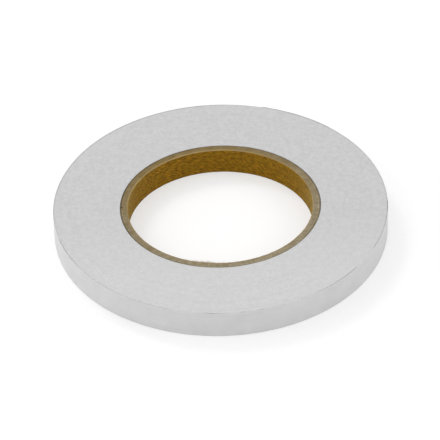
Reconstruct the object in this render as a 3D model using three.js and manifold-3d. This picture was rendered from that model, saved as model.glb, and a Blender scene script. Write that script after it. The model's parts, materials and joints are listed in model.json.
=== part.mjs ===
// Roll of double-sided tape, wound on a spiral paper core.
// Millimetres, +Z up. The origin is on the roll's axis, on the face that the roll lies on.
// Seen from above, the tape is wound anticlockwise from the core out to its free end.
// Places along the last turn are given in degrees back from the free end.

import * as THREE from "three";
import { mergeVertices } from "three/addons/utils/BufferGeometryUtils.js";
import Module from "manifold-3d";

const wasm = await Module();
wasm.setup();

// Core: strips of board wound as a spiral, each closed by a slanting butt seam
const CORE_BORE = 76.2; // diameter, a three inch core
const PLY_COUNT = 6;
const PLY_THICKNESS = 0.5;
const GLUE_LINE = 0.05; // between two plies, and between the core and the first turn
const CORE_RECESS = 0.3; // how far the core stops short of the tape's edges, at both faces
const SEAM_GAP = 0.4; // between the two edges of one strip
const SEAM_SLOPE = 30; // degrees between the seam and the roll's circumference
const SEAM_ANGLE = 285; // degrees round the axis to the inner ply's seam, the others being spread

// Tape: two layers of adhesive on a tissue, and the release liner that is wound with them
const TAPE_WIDTH = 12;
const TAPE_LENGTH = 50000;
const ADHESIVE_THICKNESS = 0.04;
const TISSUE_THICKNESS = 0.03;
const LINER_THICKNESS = 0.07;
const LAYER_GAP = 0.005; // under each layer of the last turn
const LAST_TURN_RISE = 0.15; // how far the last turn stands above the face of the turns under it

// Free end: the tape peels off the roll at one line, and the liner off the tape at another
const END_ANGLE = 75; // degrees round the axis to the end of the winding
const END_SETBACK = 1; // from that place back to the cut end of the tape
const TAIL_LENGTH = 38; // from the tape's peel line to its cut end
const LINER_LEAD = 14; // from the tape's peel line to the liner's
const PEEL_CLEARANCE = 0.1; // left at a peel line when the end stands square to the surface

const FACETS = 96; // flats in a full turn, shared by all pieces so that they nest

// Sizes that follow from those above
const webThickness = 2 * ADHESIVE_THICKNESS + TISSUE_THICKNESS + LINER_THICKNESS + 4 * LAYER_GAP;
const boreRadius = CORE_BORE / 2;
const coreRadius = boreRadius + PLY_COUNT * PLY_THICKNESS + (PLY_COUNT - 1) * GLUE_LINE;
const windingRadius = coreRadius + GLUE_LINE;
const rollRadius = Math.sqrt(windingRadius ** 2 + (TAPE_LENGTH * webThickness) / Math.PI);
const coreHeight = TAPE_WIDTH - 2 * CORE_RECESS;
const peelGap = webThickness + PEEL_CLEARANCE;
const facetStep = 360 / FACETS;

const radians = THREE.MathUtils.degToRad;

// Degrees of the last turn that a length along its outside takes up
function degreesAlong(length) {
  return THREE.MathUtils.radToDeg(length / rollRadius);
}

// Places on the last turn, from the free end back to where it leaves the packed turns
const cutEnd = degreesAlong(END_SETBACK);
const linerPeelLine = cutEnd + degreesAlong(TAIL_LENGTH - LINER_LEAD);
const tapePeelLine = cutEnd + degreesAlong(TAIL_LENGTH);
const fixedLinerEnd = linerPeelLine + degreesAlong(peelGap);
const fixedTurnEnd = tapePeelLine + degreesAlong(peelGap);
const turnStart = 360 - degreesAlong(peelGap);

// Inner radius of the last turn, which grows by one thickness of the web in each full turn
function turnRadius(back) {
  return rollRadius - webThickness * (1 + back / 360);
}

function pointAt(back, radius) {
  const angle = radians(END_ANGLE - back);
  return new THREE.Vector2(radius * Math.cos(angle), radius * Math.sin(angle));
}

// The corners of a stretch: its two ends, and the shared facets that lie between them
function cornersBetween(from, to) {
  const margin = facetStep / 100;
  const corners = [from];
  for (let back = 0; back < to - margin; back += facetStep) {
    if (back > from + margin) corners.push(back);
  }
  return [...corners, to];
}

// Outline of a layer of the last turn, at a depth measured out from the turn's inner side
function stretchShape(from, to, depth, thickness) {
  const corners = cornersBetween(from, to);
  const inner = corners.map((back) => pointAt(back, turnRadius(back) + depth));
  const outer = corners.map((back) => pointAt(back, turnRadius(back) + depth + thickness));
  return new THREE.Shape([...inner, ...outer.reverse()]);
}

// One full turn's corners, in the anticlockwise order that an outline with a hole needs
const fullTurn = cornersBetween(0, 360).reverse();

function circle(radius) {
  return fullTurn.slice(1).map((back) => pointAt(back, radius));
}

function extrude(shape, height) {
  return new THREE.ExtrudeGeometry(shape, { depth: height, bevelEnabled: false, curveSegments: 1 });
}

function solidFrom(geometry) {
  const bare = geometry.clone();
  bare.deleteAttribute("normal");
  bare.deleteAttribute("uv");
  const merged = mergeVertices(bare, 1e-4);
  return new wasm.Manifold(
    new wasm.Mesh({
      numProp: 3,
      vertProperties: merged.attributes.position.array,
      triVerts: new Uint32Array(merged.index.array),
    }),
  );
}

function geometryFrom(solid) {
  const { vertProperties, triVerts } = solid.getMesh();
  const geometry = new THREE.BufferGeometry();
  geometry.setAttribute("position", new THREE.BufferAttribute(vertProperties, 3));
  geometry.setIndex(new THREE.BufferAttribute(triVerts, 1));
  const flat = geometry.toNonIndexed();
  flat.computeVertexNormals();
  return flat;
}

function mesh(name, geometry, color, roughness) {
  const material = new THREE.MeshStandardMaterial({ color, roughness, metalness: 0 });
  const made = new THREE.Mesh(geometry, material);
  made.name = name;
  return made;
}

// A thin slanting slab through one wall of the core, as wide as the seam is open
function seamBlade(innerRadius, angle) {
  const halfSpan = coreHeight / 2 / Math.tan(radians(SEAM_SLOPE)) + SEAM_GAP;
  const outerRadius = innerRadius + PLY_THICKNESS;
  const sagitta = outerRadius - Math.sqrt(outerRadius ** 2 - halfSpan ** 2);
  const depth = 2 * (sagitta + PLY_THICKNESS);
  const length = 2 * (coreHeight / 2 / Math.sin(radians(SEAM_SLOPE)) + SEAM_GAP);
  const blade = new THREE.BoxGeometry(length, depth, SEAM_GAP);
  blade.rotateY(-radians(SEAM_SLOPE));
  blade.translate(0, innerRadius, coreHeight / 2);
  blade.rotateZ(radians(angle - 90));
  return blade;
}

// Core
const core = new THREE.Group();
core.position.z = CORE_RECESS;
for (let ply = 0; ply < PLY_COUNT; ply += 1) {
  const innerRadius = boreRadius + ply * (PLY_THICKNESS + GLUE_LINE);
  const ring = new THREE.Shape(circle(innerRadius + PLY_THICKNESS));
  ring.holes.push(new THREE.Path(circle(innerRadius)));
  const blade = seamBlade(innerRadius, SEAM_ANGLE + (ply * 360) / PLY_COUNT);
  const strip = solidFrom(extrude(ring, coreHeight)).subtract(solidFrom(blade));
  const color = ply === 0 ? 0x8a6a33 : 0x9a8c68;
  core.add(mesh(`core_ply_${ply + 1}`, geometryFrom(strip), color, 0.95));
}

// Packed turns: all of the tape but its last turn, with a step where that turn comes away
const packed = new THREE.Shape(fullTurn.map((back) => pointAt(back, turnRadius(back))));
packed.holes.push(new THREE.Path(circle(windingRadius)));
const packedTurns = mesh("wound_turns", extrude(packed, TAPE_WIDTH), 0xcfcfcd, 0.85);

// Layers of the web, from the inside out
const layers = [
  { name: "inner_adhesive", thickness: ADHESIVE_THICKNESS, color: 0xd9d8cf, roughness: 0.35 },
  { name: "tissue", thickness: TISSUE_THICKNESS, color: 0xe6e5e0, roughness: 0.9 },
  { name: "outer_adhesive", thickness: ADHESIVE_THICKNESS, color: 0xd9d8cf, roughness: 0.35 },
  { name: "liner", thickness: LINER_THICKNESS, color: 0xd2d2d1, roughness: 0.6 },
];

function layerMesh(name, layer, depth, from, to) {
  const shape = stretchShape(from, to, depth, layer.thickness);
  return mesh(name, extrude(shape, TAPE_WIDTH), layer.color, layer.roughness);
}

// Last turn and free end, layer by layer. The liner alone is parted again at its own peel line.
const lastTurn = new THREE.Group();
lastTurn.position.z = LAST_TURN_RISE;
let depth = 0;
for (const layer of layers) {
  depth += LAYER_GAP;
  lastTurn.add(layerMesh(`last_turn_${layer.name}`, layer, depth, fixedTurnEnd, turnStart));
  if (layer.name === "liner") {
    lastTurn.add(layerMesh("tail_liner_held", layer, depth, fixedLinerEnd, tapePeelLine));
    lastTurn.add(layerMesh("tail_liner_free", layer, depth, cutEnd, linerPeelLine));
  } else {
    lastTurn.add(layerMesh(`tail_${layer.name}`, layer, depth, cutEnd, tapePeelLine));
  }
  depth += layer.thickness;
}

// Least gap between the tape's free end and the same turn's start, on their points
const startCorners = cornersBetween(turnStart - facetStep, turnStart);
const endCorners = cornersBetween(cutEnd, cutEnd + facetStep);
let leastGap = Infinity;
for (const startBack of startCorners) {
  for (const endBack of endCorners) {
    const start = pointAt(startBack, turnRadius(startBack) + webThickness);
    const end = pointAt(endBack, turnRadius(endBack) + LAYER_GAP);
    leastGap = Math.min(leastGap, start.distanceTo(end));
  }
}
console.log(`Roll of ${(2 * rollRadius).toFixed(2)} mm, web of ${webThickness.toFixed(3)} mm`);
console.log(`Last turn: least gap to itself ${leastGap.toFixed(2)} mm`);

const roll = new THREE.Group();
roll.add(core, packedTurns, lastTurn);

export default roll;
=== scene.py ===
"""Visual model of a roll of double-sided tape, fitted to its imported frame. Metres, +Z up.

Seen from above, the tape is wound anticlockwise. Places along the last turn are given in degrees
back from the end of the winding, and directions in degrees round the axis, anticlockwise from +X.
"""
import json
import math
import random

import bmesh
import bpy
from bpy.props import FloatProperty, FloatVectorProperty, IntProperty, PointerProperty
from bpy.types import Operator, Panel, PropertyGroup
from mathutils import Matrix, Quaternion, Vector, noise


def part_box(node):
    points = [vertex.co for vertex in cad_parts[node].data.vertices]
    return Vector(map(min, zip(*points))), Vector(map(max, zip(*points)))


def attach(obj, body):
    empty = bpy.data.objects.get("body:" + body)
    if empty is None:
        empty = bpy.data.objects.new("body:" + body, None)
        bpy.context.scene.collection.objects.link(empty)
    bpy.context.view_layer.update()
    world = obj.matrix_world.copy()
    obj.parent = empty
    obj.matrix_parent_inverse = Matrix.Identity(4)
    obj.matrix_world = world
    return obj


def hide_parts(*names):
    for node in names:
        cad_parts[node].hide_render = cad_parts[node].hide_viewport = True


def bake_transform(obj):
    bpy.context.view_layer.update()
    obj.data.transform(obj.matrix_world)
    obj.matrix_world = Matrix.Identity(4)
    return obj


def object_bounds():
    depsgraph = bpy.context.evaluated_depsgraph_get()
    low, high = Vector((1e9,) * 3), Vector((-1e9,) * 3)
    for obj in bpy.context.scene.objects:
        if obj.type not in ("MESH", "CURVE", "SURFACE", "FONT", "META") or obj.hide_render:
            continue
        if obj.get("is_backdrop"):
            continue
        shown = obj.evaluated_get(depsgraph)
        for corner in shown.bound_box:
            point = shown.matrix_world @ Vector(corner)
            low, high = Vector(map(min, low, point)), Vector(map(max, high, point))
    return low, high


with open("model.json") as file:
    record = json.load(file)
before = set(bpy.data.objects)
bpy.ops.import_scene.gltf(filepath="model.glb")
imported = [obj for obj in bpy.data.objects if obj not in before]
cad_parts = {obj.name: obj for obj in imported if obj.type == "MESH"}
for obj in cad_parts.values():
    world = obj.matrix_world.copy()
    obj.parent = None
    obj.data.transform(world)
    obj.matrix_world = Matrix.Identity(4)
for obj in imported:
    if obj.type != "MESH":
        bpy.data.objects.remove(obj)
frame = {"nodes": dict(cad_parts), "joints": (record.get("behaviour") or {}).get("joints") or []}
cad_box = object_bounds()

bl_info = {
    "name": "Tape Roll",
    "version": (1, 0, 0),
    "blender": (4, 5, 0),
    "location": "3D View > Sidebar > Tape Roll",
    "description": "Builds a roll of double-sided tape on a spiral paper core",
    "category": "Add Mesh",
}

MM = 0.001
AXIS = (0.0, 0.0, 1.0)
CENTRE = (0.0, 0.0, 0.0)
SHARP_ANGLE = math.radians(42)
TIGHT_SHARE = 0.05  # of the loose gap, where the last turn lies tight

# How pale the rubbed line, partly a painted highlight, is on each ply, from the inside out. Further plies
# are as the last one here
PLY_PALENESS = (1.0, 0.5, 0.3)

# Where the last turn stands loose: from and to, in degrees round the axis, and the share of the gap
LOOSE_STRETCHES = (
    (47, 73, 0.28),
    (197, 226, 0.48),
    (224, 238, 0.6),
    (236, 253, 0.7),
    (263, 272, 0.85),
    (275, 278, 0.8),
    (281, 284, 0.9),
    (288, 292, 0.6),
    (296, 299, 0.8),
    (298, 306, 0.5),
    (303, 322, 0.75),
    (333, 341, 0.5),
    (339, 352, 0.33),
    (350, 361, 0.3),
)

# Layers of the web from the inside out: the node names' ending, the thickness property, the slot
WEB_LAYERS = (
    ("inner_adhesive", "adhesive_thickness", "adhesive"),
    ("tissue", "tissue_thickness", "tissue"),
    ("outer_adhesive", "adhesive_thickness", "adhesive"),
    ("liner", "liner_thickness", "liner_paper"),
)


def node_span(node, axis):
    """A CAD node's size along one axis."""
    low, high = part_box(node)
    return high[axis] - low[axis]


def length(name, description, default):
    """A length property, in metres."""
    return FloatProperty(name=name, description=description, default=default, precision=6,
                         subtype="DISTANCE", unit="LENGTH")


def turn(name, description, degrees):
    """An angle property, given in degrees."""
    return FloatProperty(name=name, description=description, default=math.radians(degrees),
                         subtype="ANGLE", unit="ROTATION")


def colour(name, description, default):
    """A colour property, in linear red, green and blue."""
    return FloatVectorProperty(name=name, description=description, default=default, size=3,
                               min=0.0, max=1.0, subtype="COLOR")


class RollSizes(PropertyGroup):
    """Sizes of the roll, its core and its free end."""

    bore: length("Bore", "Diameter of the hole in the core", 76.2 * MM)
    ply_count: IntProperty(name="Plies", description="Strips of board in the core", min=1,
                           default=sum(name.startswith("core_ply_") for name in frame["nodes"]))
    ply_thickness: length("Ply", "Thickness of one strip of board", 0.5 * MM)
    glue_line: length("Glue line", "Gap between two plies", 0.05 * MM)
    core_recess: length("Core recess", "How far the core stops short of the tape's edges", 0.1 * MM)
    core_oval: length("Core oval", "How far the core's wall stands out of round", 0.56 * MM)
    oval_angle: turn("Oval angle", "Direction in which the core is widest", 6)
    seam_slope: turn("Seam slope", "Between a ply's seam and the circumference", 30)
    seam_gap: length("Seam gap", "Between the two edges of one ply's strip", 0.4 * MM)
    seam_angle: turn("Seam angle", "Direction of the inner ply's seam", 285)
    burr: length("Burr", "How far the cut edge of the core stands ragged", 0.12 * MM)
    lip_rounding: length("Lip rounding", "Of the core's inner edges", 0.42 * MM)
    torn_angle: turn("Torn angle", "Direction of the torn place on the core's lip", 260)
    torn_width: turn("Torn width", "How far the fibres spread to each side of it", 4.8)
    torn_fibres: IntProperty(name="Torn fibres", description="Paper fibres at that place", min=0,
                             default=240)
    stray_fibres: IntProperty(name="Stray fibres", description="Paper fibres elsewhere on the lip", min=0,
                              default=80)
    fray: length("Fray", "Width of the pale line along the cut edge of a ply", 0.32 * MM)
    # The pale line is painted brightest towards this direction, where the light comes from: a painted
    # highlight
    highlight_angle: turn("Fray angle", "Direction in which that line shows most", 125)
    edge_rounding: length("Edge rounding", "Of the core's outer edges, next to the tape", 0.15 * MM)
    # The dark line between the core and the tape is painted shade in that groove: its width, and the
    # direction in which it is painted darkest
    core_gap_shade_width: length("Grime width", "Of the dark line between the core and the tape", 0.5 * MM)
    core_gap_shade_angle: turn("Grime angle", "Direction in which that line is darkest", 165)
    tape_width: length("Tape width", "Width of the tape", node_span("wound_turns", 2))
    tape_length: length("Tape length", "Length of tape on the roll", 50.0)
    adhesive_thickness: length("Adhesive", "Thickness of one layer of adhesive", 0.04 * MM)
    tissue_thickness: length("Tissue", "Thickness of the carrier tissue", 0.03 * MM)
    liner_thickness: length("Liner", "Thickness of the release liner", 0.07 * MM)
    layer_gap: length("Layer gap", "Gap under each layer of the last turn", 0.005 * MM)
    groove: length("Groove", "Depth of the groove between two turns", 0.035 * MM)
    last_turn_rise: length("Last turn rise", "Height of the last turn above the face",
                           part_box("last_turn_liner")[0].z)
    loose_gap: length("Loose gap", "Gap at the edge where the last turn stands loose", 0.34 * MM)
    loose_depth: length("Loose depth", "How far down from the edge that gap closes", 2.6 * MM)
    end_angle: turn("End angle", "Direction of the end of the winding", 75)
    end_setback: length("End setback", "From there back to the cut end of the tape", 1.0 * MM)
    tail_length: length("Tail", "From the tape's peel line to its cut end", 38 * MM)
    liner_lead: length("Liner lead", "From the tape's peel line to the liner's", 14 * MM)
    end_lift: length("End lift", "How far the cut end stands off the roll", 0.1 * MM)
    tape_bend: length("Tape bend", "Length in which the peeled tape bends", 11 * MM)
    liner_bend: length("Liner bend", "Length in which the peeled liner bends", 8 * MM)


class RollColours(PropertyGroup):
    """Colours of the roll's papers, adhesive and stage."""

    liner: colour("Liner", "Pale paper of the release liner", (0.69, 0.69, 0.69))
    edges: colour("Edges", "Slit edges of the wound tape", (0.684, 0.684, 0.684))
    grooves: colour("Grooves", "Adhesive in the grooves between the turns", (0.58, 0.58, 0.58))
    adhesive: colour("Adhesive", "Milky adhesive over the tissue", (0.68, 0.68, 0.665))
    tissue: colour("Tissue", "Carrier tissue", (0.78, 0.78, 0.76))
    kraft: colour("Kraft", "Brown paper of the bore", (0.275, 0.135, 0.008))
    olive_kraft: colour("Olive kraft", "Greener patches of the brown paper", (0.24, 0.15, 0.006))
    # Also painted as a highlight along the core's lip
    worn_kraft: colour("Worn kraft", "Rubbed edge of the brown paper", (0.44, 0.31, 0.125))
    board: colour("Board", "Cut edge of the core's board", (0.45, 0.39, 0.272))
    # Partly a stain, partly painted shade on the board's edge towards the back left
    stained_shaded_board: colour("Stained board", "Browner part of the board's edge", (0.265, 0.19, 0.083))
    fuzz: colour("Fuzz", "Torn fibres on the core's edge", (0.6, 0.53, 0.38))
    # Painted shade in the groove between the core and the tape
    core_gap_shade: colour("Shade", "Dark groove between the core and the tape", (0.092, 0.075, 0.05))
    # Painted shade in the gap where the last turn stands loose
    gap_shade: colour("Shadow", "Dust on the loose edge of the last turn", (0.18, 0.18, 0.18))
    floor: colour("Floor", "Plain pale floor", (0.93, 0.93, 0.93))


def sizes():
    """The panel's sizes."""
    return bpy.context.scene.roll_sizes


def colours():
    """The panel's colours."""
    return bpy.context.scene.roll_colours


class Winding:
    """Sizes that follow from the panel's, and places along the last turn."""

    def __init__(self, s):
        thicknesses = (getattr(s, thickness) for _, thickness, _ in WEB_LAYERS)
        self.web = sum(thicknesses) + len(WEB_LAYERS) * s.layer_gap
        self.bore_radius = s.bore / 2
        self.ply_step = s.ply_thickness + s.glue_line
        self.core_radius = self.bore_radius + s.ply_count * self.ply_step - s.glue_line
        self.core_height = s.tape_width - 2 * s.core_recess
        self.oval = s.core_oval
        self.oval_angle = s.oval_angle
        start = self.core_radius + s.glue_line
        self.roll_radius = math.sqrt(start ** 2 + s.tape_length * self.web / math.pi)
        self.end_angle = s.end_angle
        self.cut_end = self.degrees_along(s.end_setback)
        self.tape_peel = self.cut_end + self.degrees_along(s.tail_length)
        self.liner_peel = self.tape_peel - self.degrees_along(s.liner_lead)

    def degrees_along(self, distance):
        """Degrees of the last turn that a length along its outside takes up."""
        return math.degrees(distance / self.roll_radius)

    def radius(self, back):
        """Inner radius of the last turn."""
        return self.roll_radius - self.web * (1 + back / 360)

    def direction(self, back):
        """Angle round the axis, in radians."""
        return self.end_angle - math.radians(back)

    def back_of(self, point):
        """Degrees back from the end of the winding to a point's direction, from 0 up to 360."""
        return math.degrees(self.end_angle - math.atan2(point.y, point.x)) % 360

    def out_of_round(self, point):
        """A point moved with the core, which is pressed a little oval. The roll's outside stays round."""
        radius = point.xy.length
        angle = math.atan2(point.y, point.x)
        share = smooth_step((self.roll_radius - radius) / (self.roll_radius - self.core_radius))
        return polar(radius + self.oval * share * math.cos(2 * (angle - self.oval_angle)), angle, point.z)


def smooth_step(value):
    """0 below 0, 1 above 1, and a smooth rise between them."""
    value = min(max(value, 0.0), 1.0)
    return value * value * (3 - 2 * value)


def looseness(angle):
    """Share of the loose gap in a direction, in degrees round the axis."""
    angle %= 360
    fade = 1.6
    ragged_scale, raggedness = 0.55, 0.45
    share = 0.0
    for start, end, part in LOOSE_STRETCHES:
        inside = min(angle - start, end - angle) / fade
        share = max(share, part * smooth_step(inside + 0.5))
    ragged = noise.noise(Vector((angle * ragged_scale, 3.1, 0.0)))
    return max(TIGHT_SHARE, share * (1 + raggedness * ragged))


def gap_shade_share(angle):
    """Share of painted shade in the gap where the last turn stands loose, in degrees round the axis."""
    ragged = 0.62 + 1.1 * noise.noise(Vector((angle * 0.9, 8.3, 0.0)))
    return min(1.0, max(0.0, (looseness(angle) - TIGHT_SHARE) * ragged))


def share_towards(angle, favoured, least):
    """A share that falls from 1 in one direction to its least a quarter turn away, patchy all round."""
    patch_scale, least_patch = 6, 0.3
    share = least + (1 - least) * max(0.0, math.cos(angle - favoured))
    patchy = 0.85 + 0.7 * noise.noise(polar(patch_scale, angle, favoured))
    return share * min(1.0, max(least_patch, patchy))


def polar(radius, angle, height):
    """A point at a radius and an angle round the axis."""
    return Vector((radius * math.cos(angle), radius * math.sin(angle), height))


# Mesh helpers

def crowd_to_edges(verts, low, high):
    """Moves the levels between two heights closer together towards both."""
    for vert in verts:
        share = (vert.co.z - low) / (high - low)
        if 0 < share < 1:
            vert.co.z = low + (high - low) * (1 - math.cos(math.pi * share)) / 2


def upright_section(bm, inner, outer, low, high):
    """Draws an upright rectangle on the XZ plane. Returns its inner, top, outer and bottom edge."""
    corners = [bm.verts.new((radius, 0, height))
               for radius, height in ((inner, low), (inner, high), (outer, high), (outer, low))]
    return [bm.edges.new((corners[i], corners[(i + 1) % 4])) for i in range(4)]


def sweep_section(bm, start, angle, steps):
    """Turns the drawn section to its start and spins it. Returns the first section's vertices."""
    bmesh.ops.rotate(bm, verts=bm.verts[:], cent=CENTRE, matrix=Matrix.Rotation(start, 3, "Z"))
    first = set(bm.verts)
    bmesh.ops.spin(bm, geom=bm.verts[:] + bm.edges[:], cent=CENTRE, axis=AXIS, dvec=CENTRE,
                   angle=angle, steps=steps, use_merge=False, use_duplicate=False)
    return first


def close_ends(bm):
    """Fills what is open and turns all faces outwards."""
    bmesh.ops.holes_fill(bm, edges=[edge for edge in bm.edges if edge.is_boundary], sides=0)
    bmesh.ops.recalc_face_normals(bm, faces=bm.faces[:])


def finished_object(name, bm, *materials):
    """Makes an object of the mesh, smooth but for its sharp edges."""
    mesh = bpy.data.meshes.new(name)
    bm.to_mesh(mesh)
    bm.free()
    mesh.shade_smooth()
    mesh.set_sharp_from_angle(angle=SHARP_ANGLE)
    for material in materials:
        mesh.materials.append(material)
    made = bpy.data.objects.new(name, mesh)
    bpy.context.scene.collection.objects.link(made)
    return made


# Material helpers

def new_material(name):
    """A material with a Principled shader. Returns the material, its node tree and the shader."""
    material = bpy.data.materials.new(name)
    material.use_nodes = True
    tree = material.node_tree
    tree.nodes.clear()
    output = tree.nodes.new("ShaderNodeOutputMaterial")
    shader = tree.nodes.new("ShaderNodeBsdfPrincipled")
    tree.links.new(shader.outputs["BSDF"], output.inputs["Surface"])
    return material, tree, shader


def add_node(tree, kind, inputs=None, **settings):
    """A node with its settings. An input is a number or the socket that feeds it."""
    made = tree.nodes.new(kind)
    for key, value in settings.items():
        setattr(made, key, value)
    for key, value in (inputs or {}).items():
        if isinstance(value, bpy.types.NodeSocket):
            tree.links.new(value, made.inputs[key])
        else:
            made.inputs[key].default_value = value
    return made


def object_place(tree):
    """Place on the object, in metres."""
    return add_node(tree, "ShaderNodeTexCoord").outputs["Object"]


def flat_place(tree, name):
    """Place on a strip when it is laid out flat, in metres."""
    return add_node(tree, "ShaderNodeUVMap", uv_map=name).outputs["UV"]


def scaled(tree, vector, factors):
    """A place stretched by one factor along each axis."""
    return add_node(tree, "ShaderNodeVectorMath", {0: vector, 1: factors},
                    operation="MULTIPLY").outputs["Vector"]


def grain(tree, vector, scale, detail=3.0, roughness=0.55):
    """Noise from 0 to 1 at a scale, in repeats per metre."""
    inputs = {"Vector": vector, "Scale": scale, "Detail": detail, "Roughness": roughness}
    return add_node(tree, "ShaderNodeTexNoise", inputs).outputs["Fac"]


def spread(tree, value, low, high, new_low=0.0, new_high=1.0):
    """A value stretched from one range to another, and held there."""
    inputs = {"Value": value, "From Min": low, "From Max": high, "To Min": new_low, "To Max": new_high}
    return add_node(tree, "ShaderNodeMapRange", inputs).outputs["Result"]


def calculate(tree, operation, first, second):
    """Two values added, multiplied or the like."""
    return add_node(tree, "ShaderNodeMath", {0: first, 1: second}, operation=operation).outputs[0]


def weighted(tree, *parts):
    """The sum of some values, each times its weight."""
    total = None
    for value, weight in parts:
        part = calculate(tree, "MULTIPLY", value, weight)
        total = part if total is None else calculate(tree, "ADD", total, part)
    return total


def toned(colour_value, factor):
    """A colour made lighter or darker, with its alpha."""
    return (*(min(1.0, part * factor) for part in colour_value[:3]), 1.0)


def mixed(tree, share, first, second):
    """A colour between two, each given as numbers or as a socket."""
    made = add_node(tree, "ShaderNodeMix", {0: share}, data_type="RGBA")
    for index, value in ((6, first), (7, second)):
        if isinstance(value, bpy.types.NodeSocket):
            tree.links.new(value, made.inputs[index])
        else:
            made.inputs[index].default_value = value
    return made.outputs[2]


def relief(tree, shader, height, strength, distance):
    """Bumps on the shader from a height of 0 to 1."""
    inputs = {"Height": height, "Strength": strength, "Distance": distance}
    bump = add_node(tree, "ShaderNodeBump", inputs)
    tree.links.new(bump.outputs["Normal"], shader.inputs["Normal"])


def attribute(tree, name):
    """A value that the mesh keeps for each of its points."""
    return add_node(tree, "ShaderNodeAttribute", attribute_name=name).outputs["Fac"]


def rings(tree, scale, detail):
    """Noise that follows the turns or plies. The mesh keeps its distance across them in metres."""
    inputs = {"W": attribute(tree, "across"), "Scale": scale, "Detail": detail}
    return add_node(tree, "ShaderNodeTexNoise", inputs, noise_dimensions="1D").outputs["Fac"]


def along_direction(tree, place, direction):
    """How far a place lies in a direction from the axis."""
    return add_node(tree, "ShaderNodeVectorMath", {0: place, 1: direction},
                    operation="DOT_PRODUCT").outputs["Value"]


# Materials

def liner_paper():
    """Calendered release paper: faint streaks along the tape, clouds in the sheet and fine fibres."""
    material, tree, shader = new_material("release_paper")
    along = flat_place(tree, "along_tape")
    streaks = grain(tree, scaled(tree, along, (25.0, 1600.0, 1.0)), 1.0, 4.0)
    clouds = grain(tree, along, 140.0, 5.0)
    fibres = grain(tree, scaled(tree, along, (900.0, 2600.0, 1.0)), 1.0, 3.0, 0.7)
    tone = weighted(tree, (streaks, 0.4), (clouds, 0.6))
    base = mixed(tree, spread(tree, tone, 0.32, 0.68), toned(colours().liner, 0.94),
                 toned(colours().liner, 1.06))
    base = mixed(tree, spread(tree, fibres, 0.56, 0.75, 0.0, 0.6), base, toned(colours().liner, 0.88))
    # Painted shade in the gap where the last turn stands loose
    base = mixed(tree, attribute(tree, "gap_shade"), base, toned(colours().gap_shade, 1.0))
    tree.links.new(base, shader.inputs["Base Color"])
    tree.links.new(spread(tree, clouds, 0.3, 0.7, 0.5, 0.64), shader.inputs["Roughness"])
    shader.inputs["Specular IOR Level"].default_value = 0.35
    height = calculate(tree, "ADD", calculate(tree, "MULTIPLY", streaks, 0.6), fibres)
    relief(tree, shader, height, 0.25, 0.02 * MM)
    return material


def tape_edges():
    """Slit edges of the turns: each turn its own tone, dull grooves, painted shade towards the back and in
    the gap at the loose edge, and faint clouds.
    """
    material, tree, shader = new_material("slit_edges")
    place = object_place(tree)
    turns = rings(tree, 4200.0, 2.0)
    bands = rings(tree, 420.0, 3.0)
    clouds = grain(tree, place, 420.0, 5.0, 0.7)
    specks = grain(tree, place, 1500.0, 3.0, 0.7)
    smudges = grain(tree, place, 95.0, 3.0)
    tone = weighted(tree, (turns, 0.35), (clouds, 0.65), (bands, 0.15), (smudges, 0.1))
    base = mixed(tree, spread(tree, tone, 0.45, 0.8), toned(colours().edges, 0.88),
                 toned(colours().edges, 1.12))
    base = mixed(tree, calculate(tree, "MULTIPLY", attribute(tree, "groove"), 0.6), base,
                 toned(colours().grooves, 1.0))

    # Painted shade: all but the front is painted a little darker, with small spots
    back_shade = spread(tree, along_direction(tree, place, (0.0, 1.0, 0.0)), -0.045, -0.005, 0.0, 0.4)
    base = mixed(tree, back_shade, base, toned(colours().edges, 0.86))
    spots = spread(tree, grain(tree, place, 620.0, 2.0), 0.42, 0.66)
    spots = calculate(tree, "MULTIPLY", spots, back_shade)
    base = mixed(tree, spots, base, toned(colours().grooves, 0.86))
    base = mixed(tree, spread(tree, specks, 0.54, 0.74, 0.0, 0.95), base,
                 toned(colours().grooves, 0.86))
    # Painted shade in the gap where the last turn stands loose
    base = mixed(tree, attribute(tree, "gap_shade"), base, toned(colours().gap_shade, 1.0))
    tree.links.new(base, shader.inputs["Base Color"])
    tree.links.new(spread(tree, clouds, 0.3, 0.7, 0.62, 0.8), shader.inputs["Roughness"])
    shader.inputs["Specular IOR Level"].default_value = 0.3
    relief(tree, shader, specks, 0.2, 0.03 * MM)
    return material


def adhesive():
    """Milky, slightly glossy adhesive with the tissue's fibres showing through."""
    material, tree, shader = new_material("milky_adhesive")
    along = flat_place(tree, "along_tape")
    fibres = grain(tree, scaled(tree, along, (700.0, 1500.0, 1.0)), 1.0, 5.0, 0.65)
    clouds = grain(tree, along, 300.0, 4.0)
    base = mixed(tree, spread(tree, fibres, 0.35, 0.7), toned(colours().adhesive, 0.93),
                 toned(colours().adhesive, 1.05))
    # Painted shade in the gap where the last turn stands loose
    base = mixed(tree, attribute(tree, "gap_shade"), base, toned(colours().gap_shade, 1.0))
    tree.links.new(base, shader.inputs["Base Color"])
    tree.links.new(spread(tree, clouds, 0.3, 0.7, 0.22, 0.4), shader.inputs["Roughness"])
    relief(tree, shader, fibres, 0.3, 0.04 * MM)
    return material


def tissue():
    """Thin carrier tissue with long loose fibres."""
    material, tree, shader = new_material("carrier_tissue")
    along = flat_place(tree, "along_tape")
    fibres = grain(tree, scaled(tree, along, (500.0, 1900.0, 1.0)), 1.0, 6.0, 0.7)
    base = mixed(tree, spread(tree, fibres, 0.3, 0.7), toned(colours().tissue, 0.94),
                 toned(colours().tissue, 1.04))
    tree.links.new(base, shader.inputs["Base Color"])
    shader.inputs["Roughness"].default_value = 0.9
    relief(tree, shader, fibres, 0.3, 0.03 * MM)
    return material


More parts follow.
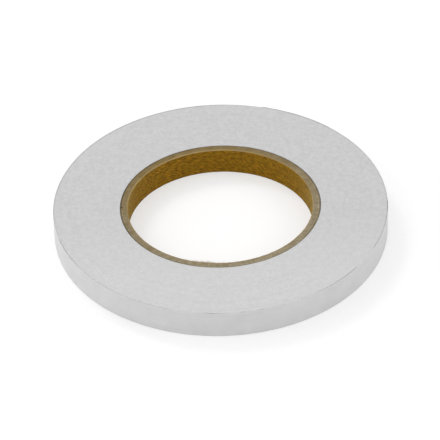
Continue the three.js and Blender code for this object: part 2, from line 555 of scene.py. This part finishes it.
def kraft_paper():
    """Brown kraft ply: fine fibres, blotches, greener patches, and pale and dark flecks."""
    material, tree, shader = new_material("brown_kraft")
    along = flat_place(tree, "along_strip")
    fibres = grain(tree, scaled(tree, along, (1150.0, 1250.0, 1.0)), 1.0, 4.0, 0.65)
    blotches = grain(tree, along, 850.0, 1.5, 0.5)
    patches = grain(tree, along, 420.0, 2.0)
    flecks = grain(tree, scaled(tree, along, (1700.0, 2000.0, 1.0)), 1.0, 3.0, 0.7)
    tone = weighted(tree, (fibres, 0.5), (blotches, 0.5))
    base = mixed(tree, spread(tree, tone, 0.4, 0.6), toned(colours().kraft, 0.45),
                 toned(colours().kraft, 1.6))
    base = mixed(tree, spread(tree, patches, 0.45, 0.6, 0.0, 0.45), base,
                 toned(colours().olive_kraft, 1.0))
    base = mixed(tree, spread(tree, flecks, 0.56, 0.74, 0.0, 0.5), base,
                 toned(colours().worn_kraft, 0.8))
    base = mixed(tree, spread(tree, flecks, 0.46, 0.34, 0.0, 0.75), base, toned(colours().kraft, 0.35))
    # A pale line along the lip: partly the rubbed cut edge, partly a painted highlight, brightest towards
    # the light
    broken = spread(tree, flecks, 0.2, 0.6, 0.7, 1.0)
    worn_and_lit = calculate(tree, "MULTIPLY", attribute(tree, "worn_and_lit"), broken)
    base = mixed(tree, worn_and_lit, base, toned(colours().worn_kraft, 1.0))
    tree.links.new(base, shader.inputs["Base Color"])
    tree.links.new(spread(tree, fibres, 0.3, 0.7, 0.8, 0.95), shader.inputs["Roughness"])
    shader.inputs["Specular IOR Level"].default_value = 0.05
    shader.inputs["Sheen Weight"].default_value = 0.2
    shader.inputs["Sheen Roughness"].default_value = 0.4
    shader.inputs["Sheen Tint"].default_value = (0.93, 1.0, 0.55, 1.0)
    relief(tree, shader, calculate(tree, "ADD", fibres, flecks), 0.45, 0.05 * MM)
    return material


def core_board():
    """Cut edge of grey-brown board: a coarse, torn grain with dark and pale specks."""
    material, tree, shader = new_material("grey_board")
    place = object_place(tree)
    layers = rings(tree, 3000.0, 2.0)
    specks = grain(tree, place, 650.0, 6.0, 0.8)
    clouds = grain(tree, place, 160.0, 4.0)
    tone = weighted(tree, (specks, 0.45), (layers, 0.4), (clouds, 0.15))
    # Browner and darker towards the back left: partly a stain, partly painted shade where the tape's edge
    # shades the board
    towards_back = along_direction(tree, place, (-0.4, 1.0, 0.0))
    stain_and_shade = calculate(tree, "ADD", spread(tree, towards_back, -0.03, 0.042),
                      spread(tree, clouds, 0.3, 0.7, -0.2, 0.2))
    board = mixed(tree, stain_and_shade, toned(colours().board, 1.0), toned(colours().stained_shaded_board, 1.0))
    base = mixed(tree, spread(tree, tone, 0.4, 0.6, 0.0, 0.7), board,
                 toned(colours().stained_shaded_board, 0.5))
    # A pale line along the lip: partly the rubbed cut edge, partly a painted highlight, brightest towards
    # the light
    broken = spread(tree, specks, 0.3, 0.6, 0.6, 1.0)
    worn_and_lit = calculate(tree, "MULTIPLY", attribute(tree, "worn_and_lit"), broken)
    base = mixed(tree, worn_and_lit, base, toned(colours().worn_kraft, 1.1))
    # Painted shade in the groove between the core and the tape, darkest towards the left
    base = mixed(tree, attribute(tree, "core_gap_shade"), base, toned(colours().core_gap_shade, 1.0))
    tree.links.new(base, shader.inputs["Base Color"])
    shader.inputs["Roughness"].default_value = 0.95
    shader.inputs["Specular IOR Level"].default_value = 0.05
    relief(tree, shader, specks, 0.5, 0.06 * MM)
    return material


def paper_fuzz():
    """Pale torn fibres, a little browner here and there."""
    material, tree, shader = new_material("paper_fuzz")
    patches = grain(tree, object_place(tree), 900.0, 3.0)
    base = mixed(tree, spread(tree, patches, 0.35, 0.65), toned(colours().fuzz, 0.75),
                 toned(colours().fuzz, 1.15))
    tree.links.new(base, shader.inputs["Base Color"])
    shader.inputs["Roughness"].default_value = 0.95
    shader.inputs["Specular IOR Level"].default_value = 0.05
    return material


FINISHES = {
    "liner_paper": ("release_paper", liner_paper),
    "tape_edges": ("slit_edges", tape_edges),
    "adhesive": ("milky_adhesive", adhesive),
    "tissue": ("carrier_tissue", tissue),
    "kraft_ply": ("brown_kraft", kraft_paper),
    "core_board": ("grey_board", core_board),
}


def material_for(slot):
    """The finish of a slot, made once."""
    name, make = FINISHES[slot]
    return bpy.data.materials.get(name) or make()


# Pieces

def lay_out(bm, name, place_of):
    """Gives each corner of each face its place on the flat strip, in metres."""
    layer = bm.loops.layers.uv.new(name)
    for face in bm.faces:
        for loop in face.loops:
            loop[layer].uv = place_of(loop.vert)


def ply_mesh(winding, ply):
    """One strip of the core, with its helical seam and its ragged cut edges."""
    s = sizes()
    inner = winding.bore_radius + ply * winding.ply_step
    outer = inner + s.ply_thickness
    low = s.core_recess
    high = low + winding.core_height
    middle = (low + high) / 2
    levels, steps = 15, 300
    hidden_rounding = 0.06 * MM
    ragged_depth, ragged_fade = 0.35 * MM, 0.3 * MM
    board_grain, lip_grain = 900, 1700
    face_burr, torn_burr = 0.35, 3
    torn_spread = 4
    bm = bmesh.new()
    inner_wall, _, outer_wall, _ = upright_section(bm, inner, outer, low, high)
    bmesh.ops.contextual_create(bm, geom=bm.edges[:])
    roundings = (
        (list(inner_wall.verts), s.lip_rounding if ply == 0 else hidden_rounding),
        (list(outer_wall.verts), s.edge_rounding if ply == s.ply_count - 1 else hidden_rounding),
    )
    for corners, rounding in roundings:
        bmesh.ops.bevel(bm, geom=corners, offset=rounding, affect="VERTICES", segments=3,
                        profile=0.5, material=-1)
    bmesh.ops.delete(bm, geom=bm.faces[:], context="FACES_ONLY")
    walls = [edge for edge in bm.edges if edge.calc_length() > winding.core_height / 2]
    bmesh.ops.subdivide_edges(bm, edges=walls, cuts=levels)
    crowd_to_edges(bm.verts, low + s.lip_rounding, high - s.lip_rounding)
    seam = s.seam_angle + math.tau * ply / s.ply_count
    gap = s.seam_gap / math.sin(s.seam_slope) / outer
    first = sweep_section(bm, seam + gap / 2, math.tau - gap, steps)
    bm.verts.index_update()

    # The strip is twisted into its spiral, and its place on the flat strip is kept
    flat = {}
    worn_and_lit = bm.verts.layers.float.new("worn_and_lit")
    core_gap_shade = bm.verts.layers.float.new("core_gap_shade")
    across = bm.verts.layers.float.new("across")
    for vert in bm.verts:
        angle = (math.atan2(vert.co.y, vert.co.x) - seam) % math.tau
        if vert in first:
            angle = gap / 2
        radius = math.hypot(vert.co.x, vert.co.y)
        height = vert.co.z
        flat[vert.index] = (angle * outer, height)
        from_end = abs(height - middle) - winding.core_height / 2
        twist = (height - middle) / math.tan(s.seam_slope) / outer
        around = seam + angle + twist
        # A pale line along a ply's cut edge: partly rubbed, partly a painted highlight, brightest towards
        # the light
        pale_line = (inner + outer) / 2 if ply == 0 else inner
        paleness = PLY_PALENESS[min(ply, len(PLY_PALENESS) - 1)]
        lit_share = share_towards(around, s.highlight_angle, least=0.3)
        from_line = math.hypot(radius - pale_line, from_end) / s.fray
        vert[worn_and_lit] = paleness * smooth_step(1.4 - from_line) * lit_share
        # Painted shade along the groove between the core and the tape, darkest in one direction and patchy
        shaded = share_towards(around, s.core_gap_shade_angle, least=0.42)
        from_tape = math.hypot(radius - winding.core_radius, from_end) / s.core_gap_shade_width
        vert[core_gap_shade] = smooth_step(1.5 - from_tape) * shaded
        vert[across] = radius
        edge = smooth_step((from_end + ragged_depth) / ragged_fade)
        ragged = noise.noise(polar(radius, around, height) * board_grain + Vector((ply * 7.3, 0, 0)))
        height += edge * face_burr * s.burr * ragged * math.copysign(1, height - middle)
        if ply == 0 and radius < (inner + outer) / 2:
            torn = noise.noise(polar(radius, around, height) * lip_grain + Vector((0, 0, 5.7)))
            from_torn = abs(math.degrees(around) % 360 - math.degrees(s.torn_angle))
            frayed = smooth_step(2 - from_torn / torn_spread)
            radius -= edge * s.burr * max(0.0, 0.25 + torn) * (1 + torn_burr * frayed)
        vert.co = winding.out_of_round(polar(radius, around, height))
    close_ends(bm)
    bm.verts.index_update()
    lay_out(bm, "along_strip", lambda vert: flat[vert.index])
    return bm


class MESH_OT_roll_core(Operator):
    """Builds the plies of the paper core"""

    bl_idname = "mesh.roll_core"
    bl_label = "Core"

    def execute(self, context):
        winding = Winding(sizes())
        for ply in range(sizes().ply_count):
            node = f"core_ply_{ply + 1}"
            bm = ply_mesh(winding, ply)
            slot = "kraft_ply" if ply == 0 else "core_board"
            finishes = (material_for(slot), material_for("core_board"))
            strip = finished_object(f"core_strip_{ply + 1}", bm, *finishes)
            if ply == 0:
                for face in strip.data.polygons:
                    cut_edge = abs(face.normal.z) > 0.5
                    face.material_index = int(cut_edge)
            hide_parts(node)
            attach(strip, "roll")
        return {"FINISHED"}


class MESH_OT_roll_fibres(Operator):
    """Builds the paper fibres that stand up from the cut edge of the core"""

    bl_idname = "mesh.roll_fibres"
    bl_label = "Core fibres"

    def execute(self, context):
        s = sizes()
        winding = Winding(s)
        rng = random.Random(11)
        root_depth, curliness = 0.12 * MM, 2.2
        root_height = s.tape_width - s.core_recess - root_depth
        bm = bmesh.new()
        number = bm.verts.layers.int.new("fibre")
        fibres = []
        for index in range(s.torn_fibres + s.stray_fibres):
            torn = index < s.torn_fibres
            around = rng.gauss(s.torn_angle, s.torn_width) if torn else rng.uniform(0, math.tau)
            radius = winding.bore_radius + rng.uniform(0.1, 0.35) * MM
            thickness = rng.uniform(0.016, 0.036 if torn else 0.024) * MM
            reach = rng.uniform(0.4, 2.0 if torn else 0.5) * MM
            outward = polar(1, around, 0)
            aside = polar(1, around + math.pi / 2, 0)
            heading = (rng.uniform(-1.0, -0.2) * outward + rng.uniform(-0.9, 0.9) * aside
                       + Vector((0, 0, rng.uniform(0.0, 0.3)))).normalized()
            curl = Vector((rng.uniform(-1, 1), rng.uniform(-1, 1), rng.uniform(-0.6, 0.1)))
            base = winding.out_of_round(polar(radius, around, root_height))
            turned = Vector(AXIS).rotation_difference(heading).to_matrix().to_4x4()
            root = bmesh.ops.create_circle(bm, cap_ends=True, radius=thickness, segments=4,
                                           matrix=Matrix.Translation(base) @ turned)["verts"]
            for vert in root:
                vert[number] = index
            fibres.append((heading, curl * curliness, reach))
        self.grow(bm, number, fibres)
        bmesh.ops.recalc_face_normals(bm, faces=bm.faces[:])
        fuzz = finished_object("core_fibres", bm, paper_fuzz())
        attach(fuzz, "roll")
        return {"FINISHED"}

    def grow(self, bm, number, fibres):
        """Extrudes all the fibres ring by ring from their roots, curling and tapering."""
        segments = 7
        taper = 0.88
        edges = bm.edges[:]
        for step in range(1, segments + 1):
            made = bmesh.ops.extrude_edge_only(bm, edges=edges)["geom"]
            edges = [item for item in made if isinstance(item, bmesh.types.BMEdge) and item.is_boundary]
            rings_made = [[] for _ in fibres]
            for item in made:
                if isinstance(item, bmesh.types.BMVert):
                    rings_made[item[number]].append(item)
            for ring, (heading, curl, reach) in zip(rings_made, fibres):
                onward = (heading + curl * (step / segments)).normalized() * (reach / segments)
                middle = sum((vert.co for vert in ring), Vector()) / len(ring)
                for vert in ring:
                    vert.co = middle + (vert.co - middle) * taper + onward
        bmesh.ops.holes_fill(bm, edges=edges, sides=0)


class MESH_OT_roll_packed_turns(Operator):
    """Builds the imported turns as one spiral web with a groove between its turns"""

    bl_idname = "mesh.roll_packed_turns"
    bl_label = "Packed turns"

    def execute(self, context):
        s = sizes()
        winding = Winding(s)
        web = winding.web
        outer = winding.radius(360)
        turns = int((outer - winding.core_radius) / web)
        inner = outer - turns * web
        steps = 144
        near_start = 1e-4
        merge_distance = 0.001 * MM
        turn_scale, face_scale = 0.61, 60
        bm = bmesh.new()
        _, top, _, bottom = upright_section(bm, inner, outer, 0, s.tape_width)
        bmesh.ops.subdivide_edges(bm, edges=[top, bottom], cuts=2 * turns - 1)
        in_groove = bm.verts.layers.float.new("groove")
        for vert in bm.verts:
            vert[in_groove] = float(round((vert.co.x - inner) / web * 2) % 2 == 0)
        first = sweep_section(bm, winding.end_angle, math.tau, steps)

        # The rings become one spiral, and each turn's end then meets the next turn's start
        for vert in bm.verts:
            done = 0.0 if vert in first else 1 - winding.back_of(vert.co) / 360
            done = 1.0 if vert not in first and done < near_start else done
            direction = vert.co.xy.normalized()
            radius = vert.co.xy.length + web * done
            vert.co.xy = direction * radius
        bmesh.ops.remove_doubles(bm, verts=bm.verts[:], dist=merge_distance)
        bmesh.ops.holes_fill(bm, edges=[edge for edge in bm.edges if edge.is_boundary], sides=0)
        bmesh.ops.recalc_face_normals(bm, faces=bm.faces[:])

        # Each turn is slit a little higher or lower, and the grooves lie below
        gap_shade = bm.verts.layers.float.new("gap_shade")
        across = bm.verts.layers.float.new("across")
        bm.verts.index_update()
        flat = {}
        for vert in bm.verts:
            vert[across] = vert.co.xy.length
            angle = math.degrees(math.atan2(vert.co.y, vert.co.x))
            back = winding.back_of(vert.co)
            flat[vert.index] = (math.radians(back) * outer, vert.co.z)
            # Painted shade in the gap where the last turn stands loose, on the top of the packed turns'
            # outer edge
            if vert.co.z > s.tape_width / 2 and vert.co.xy.length > winding.radius(back) - 0.3 * web:
                vert[gap_shade] = gap_shade_share(angle)
            inward = -1 if vert.co.z > s.tape_width / 2 else 1
            number = (vert.co.xy.length - inner) / web
            drop = 0.45 + 0.4 * noise.noise(Vector((number * turn_scale, inward, 0.5)))
            drop += 0.3 * noise.noise(Vector((vert.co.x * face_scale, vert.co.y * face_scale, inward * 9.0)))
            depth = s.groove * (0.35 + 0.65 * vert[in_groove] + 0.35 * drop)
            if inward < 0 or vert[in_groove] > 0.5:
                vert.co.z += inward * depth
            vert.co = winding.out_of_round(vert.co)
        lay_out(bm, "along_tape", lambda vert: flat[vert.index])
        for face in bm.faces:
            middle = face.calc_center_median()
            outside = middle.xy.length > (inner + outer) / 2 and abs(face.normal.z) < 0.5
            face.material_index = int(outside)
        finishes = (material_for("tape_edges"), material_for("liner_paper"))
        packed = finished_object("packed_turns", bm, *finishes)
        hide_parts("wound_turns")
        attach(packed, "roll")
        return {"FINISHED"}


def web_strip(winding, start, end, depth, thickness, steps, lift=0.0):
    """A layer of the last turn between two places, loose at its upper edge, lifted at its cut end."""
    s = sizes()
    low = s.last_turn_rise
    high = low + s.tape_width
    levels = 11
    lift_reach = 9 * MM
    wave_height, wave_grain = 0.012 * MM, 120
    settling = 25
    slack = 0.01
    reference = winding.roll_radius
    inner = reference + depth
    bm = bmesh.new()
    inner_wall, _, outer_wall, _ = upright_section(bm, inner, inner + thickness, low, high)
    bmesh.ops.subdivide_edges(bm, edges=[inner_wall, outer_wall], cuts=levels)
    crowd_to_edges(bm.verts, low, high)
    sweep_section(bm, winding.direction(end), math.radians(end - start), steps)
    bm.verts.index_update()
    flat = {}
    gap_shade = bm.verts.layers.float.new("gap_shade")
    for vert in bm.verts:
        back = winding.back_of(vert.co)
        if back > 360 - slack and start < 1:
            back = 0.0
        if back < slack and end > 359:
            back = 360.0
        above = vert.co.xy.length - reference
        height = vert.co.z
        flat[vert.index] = (math.radians(back) * reference, height)
        angle = winding.direction(back)
        opening = smooth_step(1 - (high - height) / s.loose_depth)
        loose = s.loose_gap * looseness(math.degrees(angle)) * opening
        # Painted shade inside the gap where the last turn stands loose
        if above < 0.1 * winding.web:
            vert[gap_shade] = min(1.0, 1.6 * gap_shade_share(math.degrees(angle)) * opening)
        from_cut = math.radians(back - winding.cut_end) * reference
        raised = lift * smooth_step(1 - from_cut / lift_reach) ** 2
        wave = wave_height * noise.noise(polar(reference, angle, height) * wave_grain)
        height -= low * (1 - smooth_step(min(back, 360 - back) / settling))
        vert.co = polar(winding.radius(back) + above + loose + raised + wave, angle, height)
    close_ends(bm)
    bm.verts.index_update()
    lay_out(bm, "along_tape", lambda vert: flat[vert.index])
    return bm


def layers_with_depth():
    """Each layer of the web with its slot, its depth above the turn's inner side and its thickness."""
    s = sizes()
    depth = 0.0
    for name, thickness, slot in WEB_LAYERS:
        depth += s.layer_gap
        yield name, slot, depth, getattr(s, thickness)
        depth += getattr(s, thickness)


class MESH_OT_roll_last_turn(Operator):
    """Builds the last turn, layer by layer"""

    bl_idname = "mesh.roll_last_turn"
    bl_label = "Last turn"

    def execute(self, context):
        winding = Winding(sizes())
        steps = 330
        for name, slot, depth, thickness in layers_with_depth():
            bm = web_strip(winding, winding.tape_peel, 360, depth, thickness, steps)
            strip = finished_object(f"turn_{name}", bm, material_for(slot))
            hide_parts(f"last_turn_{name}")
            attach(strip, "roll")
        return {"FINISHED"}


def peel_stretch(joint_name, distance):
    """The peel line of a joint, and the point where the bend that starts there ends."""
    joint = next(joint for joint in frame["joints"] if joint["name"] == joint_name)
    start = Vector(joint["pos_m"])
    along = Vector((-start.y, start.x, 0)).normalized()
    return start, start + along * distance


class MESH_OT_roll_free_end(Operator):
    """Builds the free end of the tape and its liner"""

    bl_idname = "mesh.roll_free_end"
    bl_label = "Free end"

    def execute(self, context):
        s = sizes()
        winding = Winding(s)
        tape_steps, tip_steps = 72, 56
        tip_lift = 1.6 * s.end_lift
        tape_start, tape_stop = peel_stretch("tape_peel", s.tape_bend)
        liner_start, liner_stop = peel_stretch("liner_peel", s.liner_bend)
        for name, slot, depth, thickness in layers_with_depth():
            node = "tail_liner_held" if name == "liner" else f"tail_{name}"
            nearest = winding.liner_peel if name == "liner" else winding.cut_end
            bm = web_strip(winding, nearest, winding.tape_peel, depth, thickness, tape_steps, s.end_lift)
            strip = finished_object(f"free_{name}", bm, material_for(slot))
            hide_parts(node)
            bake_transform(strip)
            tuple(tape_start)
            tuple(tape_stop)

        # The liner's tip has the depth and the thickness of the last layer above
        bm = web_strip(winding, winding.cut_end, winding.liner_peel, depth, thickness, tip_steps, tip_lift)
        strip = finished_object("free_liner_tip", bm, material_for("liner_paper"))
        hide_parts("tail_liner_free")
        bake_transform(strip)
        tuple(liner_start)
        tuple(liner_stop)
        return {"FINISHED"}


# Stage

def seen_directly(tree):
    """1 for what the camera sees, also in a reflection or through glass, and 0 for other light."""
    path = add_node(tree, "ShaderNodeLightPath")
    seen = calculate(tree, "MAXIMUM", path.outputs["Is Camera Ray"], path.outputs["Is Glossy Ray"])
    return calculate(tree, "MAXIMUM", seen, path.outputs["Is Transmission Ray"])


class SCENE_OT_roll_stage(Operator):
    """Builds the floor, the lights, the world and the camera"""

    bl_idname = "scene.roll_stage"
    bl_label = "Stage"

    def execute(self, context):
        self.make_floor(context)
        self.make_world(context)
        self.make_lights(context)
        self.make_camera(context)
        context.scene.view_settings.view_transform = "Standard"
        return {"FINISHED"}

    def make_floor(self, context):
        """A wide pale floor that keeps the roll's shadow and is white to the camera elsewhere."""
        half_width = 4.0
        drop = 0.02 * MM
        shadow_share, glow_share = 0.62, 0.47
        bm = bmesh.new()
        bmesh.ops.create_grid(bm, x_segments=2, y_segments=2, size=half_width)
        bmesh.ops.translate(bm, verts=bm.verts[:], vec=(0, 0, -drop))
        material = bpy.data.materials.new("floor")
        material.use_nodes = True
        tree = material.node_tree
        tree.nodes.clear()
        output = tree.nodes.new("ShaderNodeOutputMaterial")
        seen = seen_directly(tree)
        shade = mixed(tree, seen, toned(colours().floor, 1.0), toned(colours().floor, shadow_share))
        matte = add_node(tree, "ShaderNodeBsdfDiffuse", {"Color": shade})
        glow = add_node(tree, "ShaderNodeEmission", {"Color": (1, 1, 1, 1)})
        tree.links.new(calculate(tree, "MULTIPLY", seen, glow_share), glow.inputs["Strength"])
        both = tree.nodes.new("ShaderNodeAddShader")
        tree.links.new(matte.outputs[0], both.inputs[0])
        tree.links.new(glow.outputs[0], both.inputs[1])
        tree.links.new(both.outputs[0], output.inputs["Surface"])
        floor = finished_object("floor", bm, material)
        floor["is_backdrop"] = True

    def make_world(self, context):
        """Even light all round, and white behind the object."""
        world = bpy.data.worlds.new("studio")
        context.scene.world = world
        world.use_nodes = True
        tree = world.node_tree
        tree.nodes.clear()
        output = tree.nodes.new("ShaderNodeOutputWorld")
        white = (1, 1, 1, 1)
        brightness = 0.76
        light = add_node(tree, "ShaderNodeBackground", {"Color": white, "Strength": brightness})
        behind = add_node(tree, "ShaderNodeBackground", {"Color": white, "Strength": 1.0})
        chosen = add_node(tree, "ShaderNodeMixShader", {0: seen_directly(tree)})
        tree.links.new(light.outputs[0], chosen.inputs[1])
        tree.links.new(behind.outputs[0], chosen.inputs[2])
        tree.links.new(chosen.outputs[0], output.inputs["Surface"])

    def make_lights(self, context):
        """Soft lights from the back left, from the left and, weaker, from the right."""
        # Name, place, size in metres and power in watts
        lights = (
            ("back_light", (-0.75, 1.05, 1.3), 0.5, 5.6),
            ("left_light", (-1.5, -0.1, 1.0), 1.3, 4.8),
            ("right_light", (1.5, -0.25, 1.0), 0.9, 2.6),
        )
        for name, place, size, power in lights:
            data = bpy.data.lights.new(name, "AREA")
            data.shape = "SQUARE"
            data.size = size
            data.energy = power
            lamp = bpy.data.objects.new(name, data)
            lamp.location = place
            lamp.rotation_mode = "QUATERNION"
            lamp.rotation_quaternion = (-Vector(place)).to_track_quat("-Z", "Y")
            context.scene.collection.objects.link(lamp)

    def make_camera(self, context):
        """A long lens at the photograph's height and tilt."""
        elevation = math.radians(38.81)
        tilt = math.radians(-1.73)
        distance = 1.401
        aside, above = -0.3 * MM, 3.1 * MM
        back = Vector((0, -math.cos(elevation), math.sin(elevation)))
        upward = Vector((0, math.sin(elevation), math.cos(elevation)))
        target = Vector((aside, 0, 0)) + upward * above
        data = bpy.data.cameras.new("photo_camera")
        data.sensor_width = 36.0
        data.lens = 273.0
        data.clip_start, data.clip_end = 0.05, 50.0
        camera = bpy.data.objects.new("photo_camera", data)
        camera.location = target + back * distance
        camera.rotation_mode = "QUATERNION"
        camera.rotation_quaternion = (-back).to_track_quat("-Z", "Y") @ Quaternion(AXIS, tilt)
        context.scene.collection.objects.link(camera)
        context.scene.camera = camera


class VIEW3D_PT_tape_roll(Panel):
    """Sizes, colours and steps of the tape roll"""

    bl_idname = "VIEW3D_PT_tape_roll"
    bl_label = "Tape Roll"
    bl_space_type = "VIEW_3D"
    bl_region_type = "UI"
    bl_category = "Tape Roll"

    def draw(self, context):
        for group in (context.scene.roll_sizes, context.scene.roll_colours):
            column = self.layout.column(align=True)
            for name in group.__annotations__:
                column.prop(group, name)
        for step in STEPS:
            self.layout.operator(step.bl_idname)


STEPS = (
    MESH_OT_roll_core,
    MESH_OT_roll_fibres,
    MESH_OT_roll_packed_turns,
    MESH_OT_roll_last_turn,
    MESH_OT_roll_free_end,
    SCENE_OT_roll_stage,
)
CLASSES = (RollSizes, RollColours, *STEPS, VIEW3D_PT_tape_roll)


def register():
    for cls in CLASSES:
        bpy.utils.register_class(cls)
    bpy.types.Scene.roll_sizes = PointerProperty(type=RollSizes)
    bpy.types.Scene.roll_colours = PointerProperty(type=RollColours)


def unregister():
    del bpy.types.Scene.roll_colours
    del bpy.types.Scene.roll_sizes
    for cls in reversed(CLASSES):
        bpy.utils.unregister_class(cls)


def main():
    register()
    bpy.ops.scene.roll_stage()
    bpy.ops.mesh.roll_core()
    bpy.ops.mesh.roll_fibres()
    bpy.ops.mesh.roll_packed_turns()
    bpy.ops.mesh.roll_last_turn()
    bpy.ops.mesh.roll_free_end()
    boxes = {"cad": cad_box, "visual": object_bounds()}
    {name: [list(corner) for corner in box] for name, box in boxes.items()}


if __name__ == "__main__":
    main()
